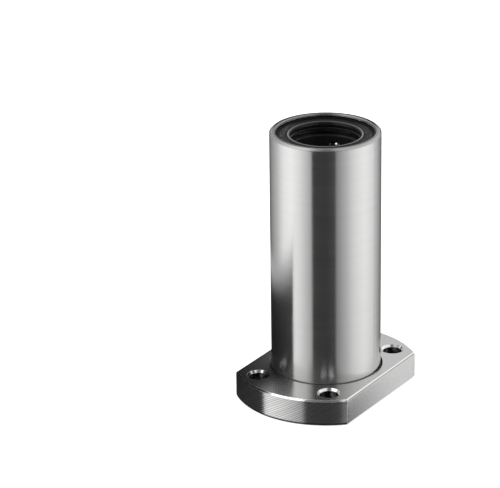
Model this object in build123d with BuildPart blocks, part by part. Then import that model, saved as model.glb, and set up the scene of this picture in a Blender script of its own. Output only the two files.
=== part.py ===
from build123d import *
from math import atan2, degrees, hypot, isclose, pi
import os

# Flanged linear ball bearing of the long type, with two ball retainers in one sleeve.
# Z is the shaft's axis. Z = 0 is the flange's outer face, and the tube rises from the flange.
# Lengths are in millimetres. Angles are in degrees about the shaft's axis, counted from +X.

# Shaft and balls
shaft_dia = 20
ball_dia = 3.175
circuit_count = 5
first_row_angle = 25.5
ball_gap = 0.1  # least gap between the balls of a circuit

# Tube of the sleeve
sleeve_length = 80
sleeve_wall = 2.825  # from the raceway to the outside
tube_end_chamfer = 0.5
tube_mouth_chamfer = 0.5

# Flange, which is one piece with the tube
flange_thickness = 8
flange_round_rim = 11  # from the tube to the flange's round ends
flange_flat_rim = 3  # from the tube to the flange's flat sides
flange_edge_chamfer = 0.5
flange_mouth_chamfer = 1.0
foot_relief_width = 0.6  # grinding relief round the tube's foot
foot_relief_depth = 0.4
foot_relief_round = 0.2

# Bolt holes, counterbored from the flange's outer face
bolt_hole_dia = 5.5
bolt_head_dia = 9
bolt_head_depth = 5.1
bolt_from_flat = 7
bolt_from_round = 9
bolt_head_chamfer = 0.3
bolt_mouth_chamfer = 0.65

# Ball retainers and the spacer ring between them
retainer_fit = 0.075  # radial gap in the sleeve
retainer_shaft_gap = 0.4
retainer_play = 0.1  # lengthwise gap at each of its ends
retainer_end_wall = 1.3
retainer_end_chamfer = 0.3
channel_clearance = 0.1  # between a ball and its channel
island_width = 2.225  # wall between the loaded row and the return row
spacer_length = 3.0
spacer_shaft_gap = 0.8
spacer_end_chamfer = 0.3

# Reliefs in the sleeve for balls that carry no load
relief_clearance = 0.2
turn_lead = 0.5  # from the end of the loaded row to the turning groove
turn_clearance = 0.3

# Snap rings
ring_thickness = 1.0
ring_width = 1.3
ring_fit = 0.05
ring_end_gap = 3.0
ring_end_chamfer = 0.3
ring_groove_depth = 0.8
ring_shoulder = 0.4  # sleeve left between the seal's seat and the ring's groove

# Seals, each a rubber ring bonded to a steel plate
seal_recess = 0.9
seal_seat_wall = 1.9  # sleeve left outside the seal
seal_fit = 0.02
seal_plate_thickness = 0.8
seal_plate_shaft_gap = 1.0
seal_rubber_thickness = 1.8
seal_rim_width = 0.5
seal_rim_bevel = 0.15
seal_face_drop = 0.35  # the face lies lower than its rim
lip_bead_width = 0.95
lip_bead_drop = 0.05
lip_throat = 0.15
lip_depth = 0.9  # from the rim to the outer lip
lip_land = 0.3
lip_groove_width = 0.7
lip_groove_depth = 0.45
lip_plate_gap = 0.1

# Radii that follow from the shaft and the balls
shaft_radius = shaft_dia / 2
ball_radius = ball_dia / 2
race_radius = shaft_radius + ball_dia
sleeve_radius = race_radius + sleeve_wall
retainer_radius = race_radius - retainer_fit
retainer_bore_radius = shaft_radius + retainer_shaft_gap
channel_radius = ball_radius + channel_clearance

# Each circuit is a race track in a plane tangent to the loaded balls' centres
track_distance = shaft_radius + ball_radius
row_spacing = 2 * channel_radius + island_width
return_radius = hypot(track_distance, row_spacing)
return_angle = degrees(atan2(row_spacing, track_distance))
relief_radius = return_radius + ball_radius + relief_clearance
relief_depth = relief_radius - race_radius

# Flange and bolt holes
flange_radius = sleeve_radius + flange_round_rim
flange_half_width = sleeve_radius + flange_flat_rim
bolt_hole_radius = bolt_hole_dia / 2
bolt_head_radius = bolt_head_dia / 2
bolt_spacing_across = 2 * (flange_half_width - bolt_from_flat)
bolt_spacing_along = 2 * (flange_radius - bolt_from_round)

# Depths from either end of the sleeve
seal_seat_radius = sleeve_radius - seal_seat_wall
seal_radius = seal_seat_radius - seal_fit
seal_plate_bore_radius = shaft_radius + seal_plate_shaft_gap
seal_plate_depth = seal_recess + seal_rubber_thickness
seal_seat_depth = seal_plate_depth + seal_plate_thickness
ring_depth = seal_seat_depth + ring_shoulder
retainer_depth = ring_depth + ring_thickness + retainer_play
ring_groove_radius = race_radius + ring_groove_depth
ring_radius = ring_groove_radius - ring_fit

# Lengths along the shaft
middle = sleeve_length / 2
retainer_length = middle - retainer_depth - spacer_length / 2 - retainer_play
retainer_middle_depth = retainer_depth + retainer_length / 2
track_straight = retainer_length - 2 * (retainer_end_wall + channel_radius) - row_spacing
turn_length = row_spacing / 2 + ball_radius + turn_clearance
track_length = 2 * track_straight + pi * row_spacing
ball_count = int(track_length / (ball_dia + ball_gap))
circuit_angles = [first_row_angle + 360 * i / circuit_count for i in range(circuit_count)]

# Planes through the axis: x is the radius, and y is the depth from that end of the sleeve
lower_end = Plane.XZ
upper_end = Plane(origin=(0, 0, sleeve_length), x_dir=(1, 0, 0), z_dir=(0, 1, 0))


def track_plane(height, angle):
    """The tangent plane that one circuit lies in, centred on its track, with x up the shaft."""
    outward = Vector(1, 0, 0).rotate(Axis.Z, angle)
    sideways = Vector(0, 1, 0).rotate(Axis.Z, angle)
    centre = outward * track_distance + sideways * (row_spacing / 2) + Vector(0, 0, height)
    return Plane(origin=centre, x_dir=(0, 0, 1), z_dir=outward)


def track_outline(height, angle):
    """The closed line that the centres of one circuit's balls follow."""
    with BuildSketch(track_plane(height, angle)) as track:
        SlotCenterToCenter(track_straight, row_spacing)
    return track.sketch.face().outer_wire()


def build_channel(height, angle):
    """The room that one circuit's balls need: a round channel along the track, open outwards."""
    outline = track_outline(height, angle)
    with BuildPart() as channel:
        with BuildSketch(Plane(origin=outline @ 0, z_dir=outline % 0)):
            Circle(channel_radius)
        sweep(path=outline)
        with BuildSketch(track_plane(height, angle)):
            SlotCenterToCenter(track_straight, row_spacing + 2 * channel_radius)
            SlotCenterToCenter(track_straight, island_width, mode=Mode.SUBTRACT)
        extrude(amount=race_radius - shaft_radius)
    return channel.part


def build_retainer(height):
    """A moulded tube with one channel for each circuit."""
    with BuildPart() as retainer:
        with BuildSketch(Plane.XY.offset(height - retainer_length / 2)):
            Circle(retainer_radius)
            Circle(retainer_bore_radius, mode=Mode.SUBTRACT)
        extrude(amount=retainer_length)
        chamfer(retainer.edges().filter_by(GeomType.CIRCLE), retainer_end_chamfer)
        for angle in circuit_angles:
            add(build_channel(height, angle), mode=Mode.SUBTRACT)
    return retainer


def build_circuit(height, number):
    """The balls of one circuit. Each circuit's balls are a little further on than the last one's."""
    outline = track_outline(height, circuit_angles[number])
    lead = number / circuit_count
    with BuildPart() as balls:
        with Locations(*[outline @ ((i + lead) / ball_count) for i in range(ball_count)]):
            Sphere(ball_radius)
    return balls


def build_snap_ring(height):
    """A flat ring with a gap, as wide as the groove lets it close."""
    with BuildPart() as ring:
        with BuildSketch(Plane.XY.offset(height - ring_thickness / 2)):
            Circle(ring_radius)
            Circle(ring_radius - ring_width, mode=Mode.SUBTRACT)
            Rectangle(ring_radius, ring_end_gap, align=(Align.MIN, Align.CENTER), mode=Mode.SUBTRACT)
        extrude(amount=ring_thickness)
        gap_faces = ring.faces().filter_by(Axis.Y)
        chamfer(gap_faces.edges().filter_by(Axis.Z), ring_end_chamfer)
    return ring


def build_seal_plate(height):
    """The steel washer that the seal's rubber is bonded to."""
    with BuildPart() as plate:
        with BuildSketch(Plane.XY.offset(height - seal_plate_thickness / 2)):
            Circle(seal_radius)
            Circle(seal_plate_bore_radius, mode=Mode.SUBTRACT)
        extrude(amount=seal_plate_thickness)
    return plate


def build_seal(end):
    """The rubber ring: a raised rim, a flat face, a bead round the bore and two lips inside it."""
    face_depth = seal_recess + seal_face_drop
    bead_foot = shaft_radius + lip_throat + lip_bead_width
    outer_lip = seal_recess + lip_depth
    lip_groove = outer_lip + lip_land
    inner_lip = lip_groove + lip_groove_width
    lip_end = inner_lip + lip_land
    lip_back_radius = seal_plate_bore_radius - lip_plate_gap
    with BuildPart() as seal:
        with BuildSketch(end):
            with BuildLine():
                rim = Polyline(
                    (seal_radius, seal_plate_depth),
                    (seal_radius, seal_recess + seal_rim_bevel),
                    (seal_radius - seal_rim_bevel, seal_recess),
                    (seal_radius - seal_rim_width, seal_recess),
                    (seal_radius - seal_rim_width, face_depth),
                    (bead_foot, face_depth),
                )
                bead = ThreePointArc(
                    rim @ 1,
                    (bead_foot - lip_bead_width / 2, seal_recess + lip_bead_drop),
                    (shaft_radius + lip_throat, face_depth),
                )
                Polyline(
                    bead @ 1,
                    (shaft_radius, outer_lip),
                    (shaft_radius, lip_groove),
                    (shaft_radius + lip_groove_depth, (lip_groove + inner_lip) / 2),
                    (shaft_radius, inner_lip),
                    (shaft_radius, lip_end),
                    (lip_back_radius, lip_end),
                    (lip_back_radius, seal_plate_depth),
                    rim @ 0,
                )
            make_face()
        revolve(axis=Axis.Z)
    return seal


# Sleeve: the flange is cut flat on two sides, and the tube stands on it
with BuildPart() as outer_sleeve:
    with BuildSketch():
        Circle(flange_radius)
        Rectangle(2 * flange_half_width, 2 * flange_radius, mode=Mode.INTERSECT)
    extrude(amount=flange_thickness)
    flange_faces = outer_sleeve.faces().filter_by(Axis.Z)
    chamfer(flange_faces.edges(), flange_edge_chamfer)
    with BuildSketch():
        Circle(sleeve_radius)
    extrude(amount=sleeve_length)
    chamfer(outer_sleeve.edges().sort_by(Axis.Z)[-1], tube_end_chamfer)

    # Grinding relief in the flange round the tube's foot
    with BuildSketch(Plane.XZ):
        with Locations((sleeve_radius + foot_relief_width / 2, flange_thickness)):
            RectangleRounded(foot_relief_width, 2 * foot_relief_depth, foot_relief_round)
    revolve(axis=Axis.Z, mode=Mode.SUBTRACT)

    # Raceway bore, and at each end the seal's seat, the snap ring's groove and two turning grooves
    with BuildSketch():
        Circle(race_radius)
    extrude(amount=sleeve_length, mode=Mode.SUBTRACT)
    for end in (lower_end, upper_end):
        with BuildSketch(end):
            Rectangle(seal_seat_radius, seal_seat_depth, align=(Align.MIN, Align.MIN))
            with Locations((0, ring_depth)):
                Rectangle(
                    ring_groove_radius,
                    ring_thickness + retainer_play,
                    align=(Align.MIN, Align.MIN),
                )
            for side in (-1, 1):
                start = retainer_middle_depth + side * (track_straight / 2 + turn_lead)
                finish = retainer_middle_depth + side * (track_straight / 2 + turn_length)
                with BuildLine():
                    Polyline(
                        (0, start),
                        (race_radius, start),
                        (relief_radius, start + side * relief_depth),
                        (relief_radius, finish - side * relief_depth),
                        (race_radius, finish),
                        (0, finish),
                        close=True,
                    )
                make_face()
        revolve(axis=Axis.Z, mode=Mode.SUBTRACT)

    # Relief channels for the return rows, from one turning groove to the next
    relief_half_length = track_straight / 2 + turn_lead + relief_depth
    for retainer_middle in (retainer_middle_depth, sleeve_length - retainer_middle_depth):
        with BuildSketch(Plane.XY.offset(retainer_middle - relief_half_length)):
            with PolarLocations(
                relief_radius - ball_dia, circuit_count, first_row_angle + return_angle
            ):
                Circle(ball_dia)
        extrude(amount=2 * relief_half_length, mode=Mode.SUBTRACT)

    # Mouths of the bore
    mouths = outer_sleeve.edges().filter_by(GeomType.CIRCLE)
    mouths = mouths.filter_by(lambda edge: isclose(edge.radius, seal_seat_radius)).sort_by(Axis.Z)
    chamfer(mouths[0], flange_mouth_chamfer)
    chamfer(mouths[-1], tube_mouth_chamfer)

    # Bolt holes, with their heads sunk into the flange's outer face
    with Locations(Plane(origin=(0, 0, 0), z_dir=(0, 0, -1))):
        with GridLocations(bolt_spacing_across, bolt_spacing_along, 2, 2):
            CounterBoreHole(bolt_hole_radius, bolt_head_radius, bolt_head_depth, flange_thickness)
    with GridLocations(bolt_spacing_across, bolt_spacing_along, 2, 2):
        Cone(
            bolt_head_radius + bolt_head_chamfer,
            bolt_head_radius,
            bolt_head_chamfer,
            align=(Align.CENTER, Align.CENTER, Align.MIN),
            mode=Mode.SUBTRACT,
        )
        with Locations((0, 0, flange_thickness)):
            Cone(
                bolt_hole_radius,
                bolt_hole_radius + bolt_mouth_chamfer,
                bolt_mouth_chamfer,
                align=(Align.CENTER, Align.CENTER, Align.MAX),
                mode=Mode.SUBTRACT,
            )

# Spacer ring between the retainers
with BuildPart() as spacer_ring:
    with BuildSketch(Plane.XY.offset(middle - spacer_length / 2)):
        Circle(retainer_radius)
        Circle(shaft_radius + spacer_shaft_gap, mode=Mode.SUBTRACT)
    extrude(amount=spacer_length)
    chamfer(spacer_ring.edges().filter_by(GeomType.CIRCLE), spacer_end_chamfer)

# Pieces that come once at each end of the sleeve
pieces = {"outer_sleeve": outer_sleeve, "spacer_ring": spacer_ring}
for name, end, flip in (("lower", lower_end, 1), ("upper", upper_end, -1)):
    plate_height = end.origin.Z + flip * (seal_plate_depth + seal_plate_thickness / 2)
    ring_height = end.origin.Z + flip * (ring_depth + ring_thickness / 2)
    retainer_height = end.origin.Z + flip * retainer_middle_depth
    pieces[name + "_seal"] = build_seal(end)
    pieces[name + "_seal_plate"] = build_seal_plate(plate_height)
    pieces[name + "_snap_ring"] = build_snap_ring(ring_height)
    pieces[name + "_retainer"] = build_retainer(retainer_height)
    for number in range(circuit_count):
        pieces[f"{name}_balls_{number + 1}"] = build_circuit(retainer_height, number)

os.makedirs("parts", exist_ok=True)
for name, piece in pieces.items():
    piece.part.label = name
    export_step(piece.part, f"parts/{name}.step")
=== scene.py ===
import bpy
from math import atan2, cos, pi, radians, sin
from mathutils import Matrix, Vector

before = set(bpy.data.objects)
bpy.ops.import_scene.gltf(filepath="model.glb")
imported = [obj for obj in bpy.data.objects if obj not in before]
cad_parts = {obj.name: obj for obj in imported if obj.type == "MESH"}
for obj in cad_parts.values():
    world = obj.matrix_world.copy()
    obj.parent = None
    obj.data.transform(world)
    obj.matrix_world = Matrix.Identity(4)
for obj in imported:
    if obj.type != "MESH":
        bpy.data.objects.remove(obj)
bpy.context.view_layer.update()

# The looks of a flanged linear bearing that stands on its flange. Lengths are in metres, Z is the
# shaft's axis, and the flange's outer face lies at Z = 0.

mm = 0.001

# Sizes of the bearing that the finishes follow
tube_radius = 16 * mm
tube_length = 80 * mm
flange_top = 8 * mm
flange_round_radius = 27 * mm
flange_half_width = 19 * mm
hole_across = 12 * mm
hole_along = 18 * mm
hole_reach = 4.85 * mm
foot_groove_radius = 16.6 * mm
seal_crest_radius = 10.66 * mm
seal_lip_radius = 11 * mm
seal_rim_radius = 13.6 * mm

# How the marks of making and use run
rim_cut_slope = radians(30)
rim_cut_spacing = 0.6 * mm
end_face_slope = 0.34
bore_shade_radius = 15.15 * mm  # inside it the end face and the bore are painted dark, as shade
chalk_turn = radians(30)


# Ways to lay out nodes

def fill(tree, socket, value):
    """Give an input socket a link or a plain number or colour."""
    if isinstance(value, bpy.types.NodeSocket):
        tree.links.new(value, socket)
    else:
        socket.default_value = value


def place(tree, kind, inputs=(), **settings):
    """Add one shader node, give it its settings, and fill its inputs with numbers or links."""
    node = tree.nodes.new("ShaderNode" + kind)
    for name, value in settings.items():
        setattr(node, name, value)
    for name, value in dict(inputs).items():
        fill(tree, node.inputs[name], value)
    return node


def sum_of(tree, operation, first, second=0.0, clamp=False):
    """The result of one Math node."""
    node = place(tree, "Math", {0: first, 1: second}, operation=operation, use_clamp=clamp)
    return node.outputs[0]


def fade(tree, value, start, end, low=0.0, high=1.0):
    """Turn a value that goes from start to end into one that goes from low to high."""
    node = place(
        tree, "MapRange",
        {"Value": value, "From Min": start, "From Max": end, "To Min": low, "To Max": high},
        interpolation_type="SMOOTHSTEP",
    )
    return node.outputs["Result"]


def all_of(tree, *masks):
    """A mask that is high only where every one of the masks is."""
    shared = masks[0]
    for mask in masks[1:]:
        shared = sum_of(tree, "MULTIPLY", shared, mask, clamp=True)
    return shared


def all_but(tree, mask):
    return sum_of(tree, "SUBTRACT", 1.0, mask)


def size_of(tree, value):
    return sum_of(tree, "ABSOLUTE", value)


def blend_colour(tree, mask, under, over):
    node = place(tree, "Mix", {0: mask, 6: under, 7: over}, data_type="RGBA")
    return node.outputs[2]


def blend_value(tree, mask, under, over):
    node = place(tree, "Mix", {0: mask, 2: under, 3: over}, data_type="FLOAT")
    return node.outputs[0]


def start_group(name, inputs, outputs):
    """An empty node group with named inputs and outputs."""
    group = bpy.data.node_groups.new(name, "ShaderNodeTree")
    for socket_name, kind, value in inputs:
        socket = group.interface.new_socket(socket_name, in_out="INPUT", socket_type=kind)
        if value is not None:
            socket.default_value = value
    for socket_name, kind in outputs:
        group.interface.new_socket(socket_name, in_out="OUTPUT", socket_type=kind)
    return group, group.nodes.new("NodeGroupInput"), group.nodes.new("NodeGroupOutput")


def use_group(tree, group, inputs):
    return place(tree, "Group", inputs, node_tree=group)


def start_material(name, metallic, roughness, settings=()):
    """A new material, with its Principled shader and the object's own coordinates."""
    material = bpy.data.materials.new(name)
    material.use_nodes = True
    tree = material.node_tree
    shader = tree.nodes["Principled BSDF"]
    shader.inputs["Metallic"].default_value = metallic
    shader.inputs["Roughness"].default_value = roughness
    for setting, value in dict(settings).items():
        shader.inputs[setting].default_value = value
    position = place(tree, "TexCoord").outputs["Object"]
    return material, tree, shader, position


def bump(tree, height, strength, distance, under=None):
    inputs = {"Height": height, "Strength": strength, "Distance": distance}
    if under is not None:
        inputs["Normal"] = under
    return place(tree, "Bump", inputs).outputs["Normal"]


# Effects that several finishes share

def make_round_coordinates():
    """Distance from the shaft's axis, height, and how steeply a face looks up or down."""
    group, given, result = start_group(
        "round coordinates",
        [("Position", "NodeSocketVector", None)],
        [("Radius", "NodeSocketFloat"), ("Height", "NodeSocketFloat"), ("Upward", "NodeSocketFloat")],
    )
    parts = place(group, "SeparateXYZ", {0: given.outputs["Position"]}).outputs
    flat = place(group, "CombineXYZ", {"X": parts["X"], "Y": parts["Y"]}).outputs[0]
    radius = place(group, "VectorMath", {0: flat}, operation="LENGTH").outputs["Value"]
    facing = place(group, "NewGeometry").outputs["Normal"]
    up = place(group, "SeparateXYZ", {0: facing}).outputs["Z"]
    group.links.new(radius, result.inputs["Radius"])
    group.links.new(parts["Z"], result.inputs["Height"])
    group.links.new(sum_of(group, "ABSOLUTE", up), result.inputs["Upward"])
    return group


def make_tool_lines():
    """Fine lines that a tool leaves, uneven in width and depth, with a slight break along them."""
    group, given, result = start_group(
        "tool lines",
        [
            ("Across", "NodeSocketFloat", 0.0),
            ("Position", "NodeSocketVector", None),
            ("Spacing", "NodeSocketFloat", 0.2 * mm),
        ],
        [("Lines", "NodeSocketFloat"), ("Bands", "NodeSocketFloat")],
    )
    drift = place(
        group, "TexNoise", {"Vector": given.outputs["Position"], "Scale": 60.0, "Detail": 1.0}
    ).outputs["Fac"]
    step = sum_of(group, "DIVIDE", given.outputs["Across"], given.outputs["Spacing"])
    step = sum_of(group, "ADD", step, drift)
    lines = place(
        group, "TexNoise", {"W": step, "Scale": 1.0, "Detail": 4.0, "Roughness": 0.7},
        noise_dimensions="1D",
    ).outputs["Fac"]
    bands = place(
        group, "TexNoise", {"W": step, "Scale": 0.09, "Detail": 2.0, "Roughness": 0.5},
        noise_dimensions="1D",
    ).outputs["Fac"]
    group.links.new(fade(group, lines, 0.3, 0.7), result.inputs["Lines"])
    group.links.new(fade(group, bands, 0.3, 0.7), result.inputs["Bands"])
    return group


def make_edge_wear_and_highlight():
    """A mask that is high along sharp edges, broken up as handling breaks it up. The sleeve also uses it
    for painted highlights along its edges.
    """
    group, given, result = start_group(
        "edge wear",
        [
            ("Position", "NodeSocketVector", None),
            ("Width", "NodeSocketFloat", 0.3 * mm),
            ("Amount", "NodeSocketFloat", 1.0),
        ],
        [("Mask", "NodeSocketFloat")],
    )
    facing = place(group, "NewGeometry").outputs["Normal"]
    rounded = place(group, "Bevel", {"Radius": given.outputs["Width"]}, samples=4).outputs["Normal"]
    match = place(group, "VectorMath", {0: facing, 1: rounded}, operation="DOT_PRODUCT").outputs["Value"]
    edge = fade(group, match, 0.995, 0.96)
    chips = place(
        group, "TexNoise", {"Vector": given.outputs["Position"], "Scale": 900.0, "Detail": 3.0}
    ).outputs["Fac"]
    worn = all_of(group, edge, fade(group, chips, 0.35, 0.6, 0.35, 1.0))
    group.links.new(all_of(group, worn, given.outputs["Amount"]), result.inputs["Mask"])
    return group


def make_rounded_edges():
    """The way a face looks, turned over its edges as if they were broken with a stone."""
    group, given, result = start_group(
        "rounded edges",
        [("Width", "NodeSocketFloat", 0.1 * mm)],
        [("Normal", "NodeSocketVector")],
    )
    rounded = place(group, "Bevel", {"Radius": given.outputs["Width"]}, samples=6).outputs["Normal"]
    group.links.new(rounded, result.inputs["Normal"])
    return group


def make_handling():
    """Soft clouds of oil and dust, and small specks."""
    group, given, result = start_group(
        "handling",
        [("Position", "NodeSocketVector", None), ("Cloud size", "NodeSocketFloat", 8 * mm)],
        [("Clouds", "NodeSocketFloat"), ("Specks", "NodeSocketFloat")],
    )
    scale = sum_of(group, "DIVIDE", 1.0, given.outputs["Cloud size"])
    clouds = place(
        group, "TexNoise",
        {"Vector": given.outputs["Position"], "Scale": scale, "Detail": 5.0, "Roughness": 0.6},
    ).outputs["Fac"]
    grains = place(
        group, "TexVoronoi", {"Vector": given.outputs["Position"], "Scale": 1800.0},
    ).outputs["Distance"]
    group.links.new(fade(group, clouds, 0.35, 0.7), result.inputs["Clouds"])
    group.links.new(fade(group, grains, 0.22, 0.08), result.inputs["Specks"])
    return group


round_coordinates = make_round_coordinates()
tool_lines = make_tool_lines()
edge_wear_and_highlight = make_edge_wear_and_highlight()
rounded_edges = make_rounded_edges()
handling = make_handling()


# Finishes

def mark_out_sleeve(tree, position):
    """Masks for the sleeve's parts, each 1 on its part and 0 away from it."""
    around = use_group(tree, round_coordinates, {"Position": position}).outputs
    radius, height, upward = around["Radius"], around["Height"], around["Upward"]
    parts = place(tree, "SeparateXYZ", {0: position}).outputs
    off_axis_x = size_of(tree, parts["X"])
    off_axis_y = size_of(tree, parts["Y"])

    face = fade(tree, upward, 0.8, 0.95)
    wall = all_but(tree, face)
    chamfer = all_of(tree, fade(tree, upward, 0.5, 0.65), fade(tree, upward, 0.85, 0.75))

    on_flange = fade(tree, height, flange_top + 0.3 * mm, flange_top + 0.1 * mm)
    outside_tube = fade(tree, radius, tube_radius + 0.1 * mm, tube_radius + 0.3 * mm)
    outer_face = all_of(tree, face, fade(tree, height, 0.3 * mm, 0.2 * mm))
    flange = sum_of(tree, "MAXIMUM", all_of(tree, on_flange, outside_tube), outer_face)
    flat_side = fade(
        tree, off_axis_x, flange_half_width - 0.2 * mm, flange_half_width - 0.05 * mm
    )
    corner = all_of(
        tree, wall,
        fade(tree, radius, flange_round_radius - 0.4 * mm, flange_round_radius - 0.2 * mm),
        fade(tree, off_axis_x, flange_half_width - 0.4 * mm, flange_half_width - 0.2 * mm),
    )
    # The flange's bottom edge, painted dark as a shadow.
    bottom_edge_shadow = all_of(
        tree, fade(tree, height, 0.95 * mm, 0.6 * mm), wall, flange, all_but(tree, flat_side)
    )
    # The flat sides' chamfers below the top edge, painted dark as shade.
    side_chamfer_shade = all_of(
        tree, chamfer, flange,
        fade(tree, off_axis_x, flange_half_width - 0.56 * mm, flange_half_width - 0.52 * mm),
        fade(tree, height, flange_top - 0.22 * mm, flange_top - 0.28 * mm),
    )

    hole_x = sum_of(tree, "SUBTRACT", off_axis_x, hole_across)
    hole_y = sum_of(tree, "SUBTRACT", off_axis_y, hole_along)
    hole_offset = place(tree, "CombineXYZ", {"X": hole_x, "Y": hole_y}).outputs[0]
    hole_radius = place(tree, "VectorMath", {0: hole_offset}, operation="LENGTH").outputs["Value"]
    hole_wall = all_of(
        tree, flange, fade(tree, hole_radius, hole_reach + 0.05 * mm, hole_reach),
        fade(tree, upward, 0.4, 0.2),
    )

    foot = all_of(
        tree, fade(tree, height, flange_top - 0.01 * mm, flange_top - 0.08 * mm),
        fade(tree, height, 1 * mm, 3 * mm),
        fade(tree, radius, foot_groove_radius + 0.15 * mm, foot_groove_radius + 0.05 * mm),
        fade(tree, radius, tube_radius + 0.02 * mm, tube_radius + 0.12 * mm),
    )
    tube_end = fade(tree, height, tube_length - 0.7 * mm, tube_length - 0.6 * mm)
    # Painted shade: the tube's inside below the end face is painted near-black.
    bore = all_of(
        tree, fade(tree, radius, bore_shade_radius + 0.15 * mm, bore_shade_radius - 0.05 * mm),
        fade(tree, height, tube_length - 0.2 * mm, tube_length - 0.35 * mm),
        all_but(tree, outer_face),
    )
    return {
        "radius": radius,
        "height": height,
        "turn": sum_of(tree, "ARCTAN2", parts["Y"], parts["X"]),
        "face": face,
        "chamfer": chamfer,
        "flange": flange,
        "rim": all_of(tree, flange, wall, all_but(tree, flat_side)),
        "flat_wall": all_of(tree, flat_side, wall),
        "corner": corner,
        "bottom_edge_shadow": bottom_edge_shadow,
        "side_chamfer_shade": side_chamfer_shade,
        "hole_wall": hole_wall,
        "foot": foot,
        # The side of the foot groove with the darkest painted shade.
        "groove_shade_side": fade(tree, parts["Y"], -1.4 * mm, 3.6 * mm),
        "tube_end": tube_end,
        "end_face": all_of(tree, tube_end, face),
        # The inner ring of the end face, which gets painted shade.
        "mouth": all_of(
            tree, fade(tree, height, tube_length - 0.35 * mm, tube_length - 0.2 * mm),
            fade(tree, radius, bore_shade_radius + 0.15 * mm, bore_shade_radius),
        ),
        "bore": bore,
    }


def cut_marks(tree, position, on):
    """Marks round the tube, rings on the faces, and slanted milling cuts on the rim."""
    around_tube = use_group(
        tree, tool_lines, {"Across": on["height"], "Position": position, "Spacing": 0.16 * mm}
    ).outputs
    on_face = use_group(
        tree, tool_lines, {"Across": on["radius"], "Position": position, "Spacing": 0.22 * mm}
    ).outputs
    along_rim = sum_of(tree, "MULTIPLY", on["turn"], flange_round_radius * sin(rim_cut_slope))
    up_rim = sum_of(tree, "MULTIPLY", on["height"], cos(rim_cut_slope))
    slanted = sum_of(tree, "SUBTRACT", up_rim, along_rim)
    on_rim = use_group(
        tree, tool_lines, {"Across": slanted, "Position": position, "Spacing": 0.3 * mm}
    ).outputs
    wander = sum_of(tree, "MULTIPLY", on_rim["Lines"], 1.2)
    feed = sum_of(tree, "MULTIPLY", slanted, 2 * pi / rim_cut_spacing)
    feed = sum_of(tree, "SINE", sum_of(tree, "ADD", feed, wander))
    feed = fade(tree, feed, -1.0, 1.0)

    lines = blend_value(tree, on["face"], around_tube["Lines"], on_face["Lines"])
    lines = blend_value(tree, on["rim"], lines, blend_value(tree, 0.35, feed, on_rim["Lines"]))
    bands = blend_value(tree, on["face"], around_tube["Bands"], on_face["Bands"])
    bands = blend_value(tree, on["rim"], bands, on_rim["Bands"])
    return lines, bands


def colour_sleeve(tree, on, lines, bands, grain, wear_and_highlight, hole_shade_patches):
    """Bright ground steel, with painted shade on the tube's foot, in the holes, the bore and along the
    flange's bottom edge, and painted highlights on the edges and corners.
    """
    colour = blend_colour(tree, bands, (0.70, 0.70, 0.695, 1), (0.715, 0.715, 0.71, 1))
    # Painted shade: the tube darkens towards its foot, by up to 0.16 of the way to dark grey.
    shade_low_on_tube = fade(tree, on["height"], 76 * mm, 4 * mm, 0.0, 0.16)
    colour = blend_colour(tree, shade_low_on_tube, colour, (0.25, 0.25, 0.245, 1))
    satin = blend_colour(tree, grain, (0.60, 0.60, 0.595, 1), (0.70, 0.70, 0.695, 1))
    colour = blend_colour(tree, on["flange"], colour, satin)
    milled = blend_colour(tree, lines, (0.42, 0.42, 0.417, 1), (0.74, 0.74, 0.735, 1))
    colour = blend_colour(tree, on["rim"], colour, milled)
    side = blend_colour(tree, grain, (0.86, 0.86, 0.855, 1), (0.74, 0.74, 0.735, 1))
    colour = blend_colour(tree, on["flat_wall"], colour, side)
    # Painted shade in the bolt holes: dark patches between brighter ones.
    shaded_hole_wall = blend_colour(tree, hole_shade_patches, (0.05, 0.05, 0.05, 1), (0.60, 0.60, 0.597, 1))
    colour = blend_colour(tree, on["hole_wall"], colour, shaded_hole_wall)
    colour = blend_colour(tree, on["chamfer"], colour, (0.80, 0.80, 0.795, 1))
    # Painted shade on the flat sides' chamfers below the top edge, so that their highlight stays thin.
    colour = blend_colour(tree, on["side_chamfer_shade"], colour, (0.34, 0.34, 0.338, 1))
    colour = blend_colour(tree, on["tube_end"], colour, (0.44, 0.44, 0.437, 1))
    # Painted shade: the bore near-black, and the inner ring of the end face dark grey.
    colour = blend_colour(tree, on["bore"], colour, (0.06, 0.06, 0.059, 1))
    colour = blend_colour(tree, on["mouth"], colour, (0.27, 0.27, 0.268, 1))
    # Painted shade in the foot groove, nearly black on one side.
    groove = blend_colour(tree, on["groove_shade_side"], (0.25, 0.25, 0.248, 1), (0.01, 0.01, 0.01, 1))
    colour = blend_colour(tree, on["foot"], colour, groove)
    # Edges: real rubbing, and painted highlights that brighten the sleeve's edges.
    colour = blend_colour(tree, wear_and_highlight, colour, (0.90, 0.90, 0.89, 1))
    # Painted highlight along the flange's corners, broken by the grain.
    corner_highlight = blend_colour(tree, grain, (0.30, 0.30, 0.297, 1), (0.95, 0.95, 0.94, 1))
    colour = blend_colour(tree, on["corner"], colour, corner_highlight)
    # Painted shadow: a dark line along the flange's bottom edge, at the floor.
    return blend_colour(tree, on["bottom_edge_shadow"], colour, (0.06, 0.06, 0.058, 1))


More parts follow.
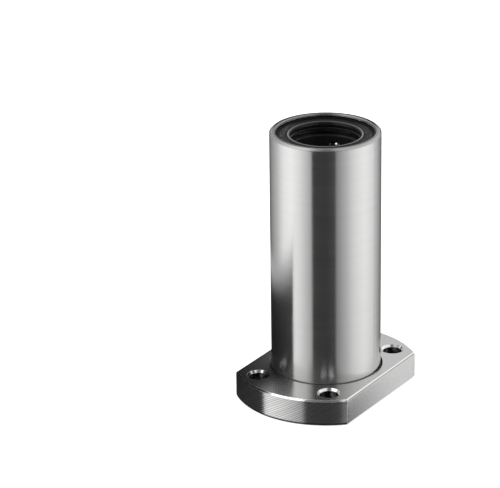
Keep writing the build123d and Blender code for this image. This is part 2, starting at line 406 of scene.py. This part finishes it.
def gloss_of_sleeve(tree, on, lines, bands, grain, wear_and_highlight, oil):
    """Roughness: a bright tube, satin flange faces, and polished chamfers."""
    gloss = blend_value(tree, bands, 0.18, 0.20)
    gloss = blend_value(tree, oil, gloss, sum_of(tree, "ADD", gloss, 0.03))
    gloss = blend_value(tree, on["flange"], gloss, blend_value(tree, grain, 0.24, 0.19))
    gloss = blend_value(tree, on["rim"], gloss, blend_value(tree, lines, 0.20, 0.24))
    gloss = blend_value(tree, on["flat_wall"], gloss, blend_value(tree, grain, 0.22, 0.18))
    gloss = blend_value(tree, on["chamfer"], gloss, 0.10)
    gloss = blend_value(tree, on["hole_wall"], gloss, 0.22)
    gloss = blend_value(tree, on["tube_end"], gloss, 0.32)
    gloss = blend_value(tree, on["end_face"], gloss, 0.14)
    gloss = blend_value(tree, on["foot"], gloss, blend_value(tree, on["groove_shade_side"], 0.4, 0.9))
    return blend_value(tree, wear_and_highlight, gloss, 0.5)


def relief_of_sleeve(tree, on, lines):
    """Broken edges, a slightly crowned end face, and the depth of the tool marks."""
    edge_width = blend_value(tree, on["corner"], 0.12 * mm, 0.35 * mm)
    edges = use_group(tree, rounded_edges, {"Width": edge_width}).outputs["Normal"]
    fall = sum_of(tree, "MULTIPLY", on["radius"], -end_face_slope)
    normal = bump(tree, sum_of(tree, "MULTIPLY", fall, on["end_face"]), 1.0, 1.0, edges)
    depth = blend_value(tree, on["flange"], 0.01, 0.15)
    depth = blend_value(tree, on["rim"], depth, 1.0)
    return bump(tree, sum_of(tree, "MULTIPLY", lines, depth), 0.35, 0.01 * mm, normal)


def finish_sleeve():
    """Bearing steel: a ground tube, satin flange faces, a milled rim, and painted shade in the holes and
    the bore.
    """
    material, tree, shader, position = start_material(
        "ground bearing steel", 1.0, 0.25, {"Anisotropic": 0.9, "Anisotropic Rotation": 0.25}
    )
    on = mark_out_sleeve(tree, position)
    lines, bands = cut_marks(tree, position, on)
    # Edge mask for rubbed edges that also carry painted highlights.
    wear_and_highlight = use_group(
        tree, edge_wear_and_highlight, {"Position": position, "Width": 0.12 * mm, "Amount": 1.0}
    ).outputs["Mask"]
    oil = use_group(tree, handling, {"Position": position, "Cloud size": 12 * mm}).outputs["Clouds"]
    grain = place(
        tree, "TexNoise", {"Vector": position, "Scale": 2600.0, "Detail": 3.0, "Roughness": 0.7}
    ).outputs["Fac"]
    grain = fade(tree, grain, 0.3, 0.7)
    # Patches of painted shade for the bolt holes.
    hole_shade_patches = place(tree, "TexNoise", {"Vector": position, "Scale": 450.0, "Detail": 2.0}).outputs["Fac"]
    hole_shade_patches = fade(tree, hole_shade_patches, 0.45, 0.62)
    colour = colour_sleeve(tree, on, lines, bands, grain, wear_and_highlight, hole_shade_patches)
    tree.links.new(colour, shader.inputs["Base Color"])
    gloss = gloss_of_sleeve(tree, on, lines, bands, grain, wear_and_highlight, oil)
    tree.links.new(gloss, shader.inputs["Roughness"])
    tree.links.new(relief_of_sleeve(tree, on, lines), shader.inputs["Normal"])
    way_round = place(tree, "Tangent", direction_type="RADIAL", axis="Z").outputs["Tangent"]
    tree.links.new(way_round, shader.inputs["Tangent"])
    return material


def finish_rubber():
    """Matte moulded rubber with chalky grains, and a smoother lip whose crest is glossy and carries a
    painted highlight.
    """
    material, tree, shader, position = start_material(
        "seal rubber", 0.0, 0.7, {"Specular IOR Level": 0.16, "Coat Roughness": 0.12}
    )
    radius = use_group(tree, round_coordinates, {"Position": position}).outputs["Radius"]
    grain = place(
        tree, "TexNoise", {"Vector": position, "Scale": 2600.0, "Detail": 4.0, "Roughness": 0.7}
    ).outputs["Fac"]
    lip = fade(tree, radius, seal_lip_radius + 0.2 * mm, seal_lip_radius)
    from_crest = size_of(tree, sum_of(tree, "SUBTRACT", radius, seal_crest_radius))
    crest = fade(tree, from_crest, 0.22 * mm, 0.10 * mm)
    parts = place(tree, "SeparateXYZ", {0: position}).outputs
    to_one_side = sum_of(
        tree, "ADD", sum_of(tree, "MULTIPLY", parts["X"], cos(chalk_turn)),
        sum_of(tree, "MULTIPLY", parts["Y"], sin(chalk_turn)),
    )
    chalky = all_of(
        tree, fade(tree, size_of(tree, to_one_side), 8 * mm, 11.5 * mm),
        fade(tree, radius, seal_lip_radius + 0.3 * mm, seal_lip_radius + 0.6 * mm),
        fade(tree, radius, seal_rim_radius - 0.1 * mm, seal_rim_radius - 0.4 * mm),
    )
    chalk = fade(tree, grain, 0.48, 0.66, 0.06, 0.9)
    black, charcoal = (0.004, 0.004, 0.004, 1), (0.030, 0.030, 0.031, 1)
    colour = blend_colour(tree, fade(tree, grain, 0.35, 0.7), black, charcoal)
    colour = blend_colour(tree, all_of(tree, chalky, chalk), colour, (0.17, 0.17, 0.17, 1))
    # Painted highlight: a pale ring along the lip's crest.
    colour = blend_colour(tree, crest, colour, (0.16, 0.16, 0.16, 1))
    tree.links.new(colour, shader.inputs["Base Color"])
    gloss = blend_value(tree, lip, blend_value(tree, grain, 0.78, 0.58), 0.35)
    tree.links.new(gloss, shader.inputs["Roughness"])
    shine = blend_value(tree, crest, sum_of(tree, "MULTIPLY", lip, 0.25), 1.0)
    tree.links.new(shine, shader.inputs["Coat Weight"])
    rings = use_group(
        tree, tool_lines, {"Across": radius, "Position": position, "Spacing": 0.2 * mm}
    ).outputs["Lines"]
    normal = bump(tree, grain, 0.55, 0.05 * mm)
    tree.links.new(bump(tree, rings, 0.15, 0.03 * mm, normal), shader.inputs["Normal"])
    return material


def finish_resin():
    """Black moulded resin: flow marks along the shaft, a soft sheen, paler rubbed edges."""
    material, tree, shader, position = start_material(
        "black resin", 0.0, 0.42, {"Specular IOR Level": 0.3}
    )
    stretch = place(
        tree, "Mapping", {"Vector": position, "Scale": (900.0, 900.0, 60.0)}
    ).outputs["Vector"]
    flow = place(tree, "TexNoise", {"Vector": stretch, "Scale": 1.0, "Detail": 4.0}).outputs["Fac"]
    clouds = use_group(tree, handling, {"Position": position, "Cloud size": 5 * mm}).outputs["Clouds"]
    wear_and_highlight = use_group(
        tree, edge_wear_and_highlight, {"Position": position, "Width": 0.2 * mm, "Amount": 0.5}
    ).outputs["Mask"]
    colour = blend_colour(tree, flow, (0.014, 0.014, 0.015, 1), (0.034, 0.034, 0.036, 1))
    colour = blend_colour(tree, wear_and_highlight, colour, (0.085, 0.085, 0.088, 1))
    tree.links.new(colour, shader.inputs["Base Color"])
    tree.links.new(blend_value(tree, clouds, 0.36, 0.50), shader.inputs["Roughness"])
    tree.links.new(bump(tree, flow, 0.25, 0.03 * mm), shader.inputs["Normal"])
    return material


def finish_snap_ring():
    """Dark oiled spring steel with rolled lines and rubbed edges."""
    material, tree, shader, position = start_material("oiled spring steel", 1.0, 0.35)
    radius = use_group(tree, round_coordinates, {"Position": position}).outputs["Radius"]
    marks = use_group(
        tree, tool_lines, {"Across": radius, "Position": position, "Spacing": 0.12 * mm}
    ).outputs
    oil = use_group(tree, handling, {"Position": position, "Cloud size": 4 * mm}).outputs["Clouds"]
    wear_and_highlight = use_group(
        tree, edge_wear_and_highlight, {"Position": position, "Width": 0.15 * mm, "Amount": 1.0}
    ).outputs["Mask"]
    colour = blend_colour(tree, marks["Bands"], (0.22, 0.215, 0.21, 1), (0.34, 0.335, 0.33, 1))
    colour = blend_colour(tree, oil, colour, (0.175, 0.17, 0.165, 1))
    colour = blend_colour(tree, wear_and_highlight, colour, (0.62, 0.61, 0.60, 1))
    tree.links.new(colour, shader.inputs["Base Color"])
    tree.links.new(blend_value(tree, oil, 0.42, 0.26), shader.inputs["Roughness"])
    tree.links.new(bump(tree, marks["Lines"], 0.3, 0.01 * mm), shader.inputs["Normal"])
    return material


def finish_seal_plate():
    """Dull stamped steel with a rolled grain that runs one way."""
    material, tree, shader, position = start_material("stamped steel", 1.0, 0.5)
    across = place(tree, "SeparateXYZ", {0: position}).outputs["X"]
    marks = use_group(
        tree, tool_lines, {"Across": across, "Position": position, "Spacing": 0.15 * mm}
    ).outputs
    clouds = use_group(tree, handling, {"Position": position, "Cloud size": 3 * mm}).outputs
    wear_and_highlight = use_group(
        tree, edge_wear_and_highlight, {"Position": position, "Width": 0.12 * mm, "Amount": 0.8}
    ).outputs["Mask"]
    colour = blend_colour(tree, marks["Lines"], (0.38, 0.38, 0.385, 1), (0.52, 0.52, 0.525, 1))
    stained = all_of(tree, clouds["Clouds"], clouds["Specks"])
    colour = blend_colour(tree, stained, colour, (0.24, 0.22, 0.20, 1))
    colour = blend_colour(tree, wear_and_highlight, colour, (0.72, 0.72, 0.72, 1))
    tree.links.new(colour, shader.inputs["Base Color"])
    tree.links.new(blend_value(tree, clouds["Clouds"], 0.45, 0.58), shader.inputs["Roughness"])
    tree.links.new(bump(tree, marks["Lines"], 0.3, 0.01 * mm), shader.inputs["Normal"])
    return material


def finish_balls():
    """Polished ball steel with a thin, uneven film of oil and hair-fine scratches."""
    material, tree, shader, position = start_material(
        "polished ball steel", 1.0, 0.06, {"Coat Weight": 0.3, "Coat Roughness": 0.05}
    )
    oil = use_group(tree, handling, {"Position": position, "Cloud size": 2 * mm}).outputs["Clouds"]
    twist = place(tree, "Mapping", {"Vector": position, "Rotation": (0.6, 0.9, 0.3)}).outputs["Vector"]
    scratches = place(
        tree, "TexNoise", {"Vector": twist, "Scale": 3500.0, "Detail": 2.0, "Distortion": 1.5}
    ).outputs["Fac"]
    colour = blend_colour(tree, oil, (0.84, 0.84, 0.85, 1), (0.76, 0.75, 0.72, 1))
    tree.links.new(colour, shader.inputs["Base Color"])
    gloss = blend_value(tree, fade(tree, scratches, 0.55, 0.7), 0.05, 0.14)
    tree.links.new(blend_value(tree, oil, gloss, 0.10), shader.inputs["Roughness"])
    tree.links.new(bump(tree, scratches, 0.03, 0.005 * mm), shader.inputs["Normal"])
    return material


def give_finish(finish, *names):
    for name in names:
        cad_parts[name].material_slots[0].material = finish


give_finish(finish_sleeve(), "outer_sleeve")
give_finish(finish_rubber(), "lower_seal", "upper_seal")
give_finish(finish_resin(), "lower_retainer", "upper_retainer", "spacer_ring")
give_finish(finish_snap_ring(), "lower_snap_ring", "upper_snap_ring")
give_finish(finish_seal_plate(), "lower_seal_plate", "upper_seal_plate")
give_finish(
    finish_balls(),
    *[f"{end}_balls_{number}" for end in ("lower", "upper") for number in range(1, 6)],
)


# Floor, light and camera

def lay_floor():
    """A plain pale floor. Polished steel doesn't mirror it, as on a lit glass table."""
    bpy.ops.object.select_all(action="DESELECT")
    bpy.ops.mesh.primitive_plane_add(size=8, location=(0, 0, 0))
    floor = bpy.context.object
    floor.name = "floor"
    material, tree, shader, position = start_material("pale floor", 0.0, 0.9)
    tint = place(tree, "TexNoise", {"Vector": position, "Scale": 3.0, "Detail": 2.0}).outputs["Fac"]
    colour = blend_colour(tree, tint, (0.93, 0.93, 0.93, 1), (0.95, 0.95, 0.95, 1))
    tree.links.new(colour, shader.inputs["Base Color"])
    shader.inputs["Specular IOR Level"].default_value = 0.0
    shader.inputs["Emission Color"].default_value = (1, 1, 1, 1)
    shader.inputs["Emission Strength"].default_value = 0.72
    floor.data.materials.append(material)
    floor.visible_glossy = False
    floor.visible_shadow = False


# The camera's place round the bearing and its view, for a frame 500 pixels wide
camera_turn = radians(33.16)
camera_height = radians(22.05)
camera_roll = radians(-0.79)
camera_distance = 824.65 * mm
camera_moved_right = -22.39 * mm
camera_moved_up = 41.92 * mm
focal_pixels = 2800.6
frame_pixels = 500
film_width = 36


def direction_from(turn, rise):
    """The unit vector from the bearing towards something round it and above it."""
    return Vector((sin(turn) * cos(rise), -cos(turn) * cos(rise), sin(rise)))


def set_camera():
    """A long lens, a little above the bearing, with the bearing right of the middle."""
    back = direction_from(camera_turn, camera_height)
    right = (-back).cross(Vector((0, 0, 1))).normalized()
    up = right.cross(-back)
    rolled_right = cos(camera_roll) * right + sin(camera_roll) * up
    rolled_up = -sin(camera_roll) * right + cos(camera_roll) * up
    camera = bpy.data.objects.new("camera", bpy.data.cameras.new("camera"))
    camera.data.sensor_width = film_width
    camera.data.lens = focal_pixels / frame_pixels * film_width
    camera.data.clip_end = 100
    turn = Matrix((rolled_right, rolled_up, back)).transposed().to_4x4()
    stand = back * camera_distance
    stand += rolled_right * camera_moved_right + rolled_up * camera_moved_up
    camera.matrix_world = Matrix.Translation(stand) @ turn
    bpy.context.scene.collection.objects.link(camera)
    bpy.context.scene.camera = camera


def show_only_in_steel(thing):
    """Leave a light or dark sheet out of the view, so that only polished steel shows it."""
    thing.visible_camera = False
    thing.visible_diffuse = False
    thing.visible_shadow = False


def stand_flag():
    """A low dark flag with a sloped top, seen only as the shade it puts in the polished steel."""
    flag_height = 96 * mm
    left_of_camera = direction_from(camera_turn - pi / 2, 0)
    behind = direction_from(camera_turn + pi, 0)
    near_end = left_of_camera * 40 * mm - behind * 21.5 * mm
    far_end = left_of_camera * 10 * mm + behind * 40 * mm
    middle = (near_end + far_end) / 2
    run = far_end - near_end
    bpy.ops.object.select_all(action="DESELECT")
    bpy.ops.mesh.primitive_plane_add(size=1, location=(middle.x, middle.y, 0))
    flag = bpy.context.object
    flag.name = "flag"
    flag.rotation_euler = (pi / 2, 0, atan2(run.y, run.x))
    flag.scale = (run.length, flag_height, 1)
    material, tree, shader, position = start_material("black cloth with a grey top", 0.0, 0.9)
    weave = place(tree, "TexNoise", {"Vector": position, "Scale": 400.0, "Detail": 2.0}).outputs["Fac"]
    colour = blend_colour(tree, weave, (0.01, 0.01, 0.01, 1), (0.03, 0.03, 0.03, 1))
    tree.links.new(colour, shader.inputs["Base Color"])
    on_cloth = place(tree, "SeparateXYZ", {0: position}).outputs
    slope = fade(tree, on_cloth["X"], 0.0, 0.5, 1.5 * mm, 7.5 * mm)
    rise = sum_of(tree, "MULTIPLY", on_cloth["Y"], flag_height)
    rise = sum_of(tree, "SUBTRACT", rise, slope)
    grey_top = fade(tree, rise, 22 * mm, 32 * mm, 0.0, 0.5)
    tree.links.new(grey_top, shader.inputs["Emission Color"])
    thin_top = fade(tree, rise, 38 * mm, 30 * mm)
    tree.links.new(thin_top, shader.inputs["Alpha"])
    shader.inputs["Emission Strength"].default_value = 1.0
    flag.data.materials.append(material)
    show_only_in_steel(flag)


def hold_card():
    """A card low beside a flat side of the flange, black at one end and white at the other."""
    card_length = 70 * mm
    card_height = 20 * mm
    bpy.ops.object.select_all(action="DESELECT")
    bpy.ops.mesh.primitive_plane_add(size=1, location=(31 * mm, 18 * mm, -card_height / 2))
    card = bpy.context.object
    card.name = "card"
    card.rotation_euler = (pi / 2, 0, pi / 2)
    card.scale = (card_length, card_height, 1)
    material, tree, shader, position = start_material("card, black to white", 0.0, 0.9)
    along = place(tree, "SeparateXYZ", {0: position}).outputs
    level = fade(
        tree, along["X"], -30 * mm / card_length, 16 * mm / card_length, 0.06, 0.72
    )
    colour = blend_colour(tree, level, (0.0, 0.0, 0.0, 1), (1.0, 1.0, 1.0, 1))
    tree.links.new(colour, shader.inputs["Emission Color"])
    thin_top = fade(tree, along["Y"], 10 * mm / card_height, 8 * mm / card_height)
    tree.links.new(thin_top, shader.inputs["Alpha"])
    shader.inputs["Base Color"].default_value = (0, 0, 0, 1)
    shader.inputs["Specular IOR Level"].default_value = 0.0
    shader.inputs["Emission Strength"].default_value = 1.0
    card.data.materials.append(material)
    show_only_in_steel(card)


def ring_of_light(tree, turn, levels):
    """Brightness all round the bearing, from pairs of a turn in degrees and a level."""
    ramp = place(tree, "ValToRGB", {"Fac": turn})
    ramp.color_ramp.interpolation = "LINEAR"
    stops = ramp.color_ramp.elements
    while len(stops) < len(levels):
        stops.new(1.0)
    for stop, (degrees_round, level) in zip(stops, levels):
        stop.position = 0.5 + degrees_round / 360
        stop.color = (level, level, level, 1)
    return ramp.outputs["Color"]


def light_room():
    """A tent of soft light: bright sheets at both sides, a dark gap at the camera, a pale top."""
    world = bpy.data.worlds.new("light tent")
    bpy.context.scene.world = world
    world.use_nodes = True
    tree = world.node_tree
    direction = place(tree, "TexCoord").outputs["Generated"]
    turned = place(
        tree, "VectorRotate", {"Vector": direction, "Angle": -camera_turn}, rotation_type="Z_AXIS"
    ).outputs["Vector"]
    parts = place(tree, "SeparateXYZ", {0: turned}).outputs
    turn = sum_of(tree, "ARCTAN2", parts["X"], sum_of(tree, "MULTIPLY", parts["Y"], -1.0))
    turn = sum_of(tree, "ADD", sum_of(tree, "DIVIDE", turn, 2 * pi), 0.5)
    low = ring_of_light(tree, turn, [
        (-180, 0.06), (-160, 0.16), (-120, 0.62), (-98, 1.08), (-76, 1.20), (-57, 0.98), (-45, 0.76),
        (-31, 0.50), (-29, 0.050), (0, 0.045), (18, 0.070), (21, 0.30), (43, 0.62), (57, 0.88),
        (72, 1.04), (88, 1.12), (108, 0.96), (133, 0.50), (153, 0.20), (180, 0.06),
    ])
    middle = ring_of_light(tree, turn, [
        (-180, 0.75), (-150, 0.60), (-120, 0.80), (-76, 1.10), (-45, 0.76), (-31, 0.50),
        (-29, 0.050), (18, 0.070), (21, 0.30), (57, 0.88), (88, 1.15), (108, 1.15), (130, 1.10),
        (150, 0.90), (180, 0.75),
    ])
    top = ring_of_light(tree, turn, [
        (-180, 0.50), (-120, 1.10), (-105, 1.70), (-46, 1.70), (-40, 0.20), (0, 0.17), (24, 0.20),
        (30, 0.80), (60, 0.95), (120, 1.00), (180, 0.50),
    ])
    light = blend_colour(tree, fade(tree, parts["Z"], 0.05, 0.25), low, middle)
    light = blend_colour(tree, fade(tree, parts["Z"], 0.45, 0.75), light, top)
    light = blend_colour(tree, fade(tree, parts["Z"], -0.65, -0.80), light, (0.25, 0.25, 0.25, 1))
    background = tree.nodes["Background"]
    tree.links.new(light, background.inputs["Color"])
    background.inputs["Strength"].default_value = 1.0
    bpy.context.scene.view_settings.view_transform = "Standard"


lay_floor()
set_camera()
light_room()
stand_flag()
hold_card()
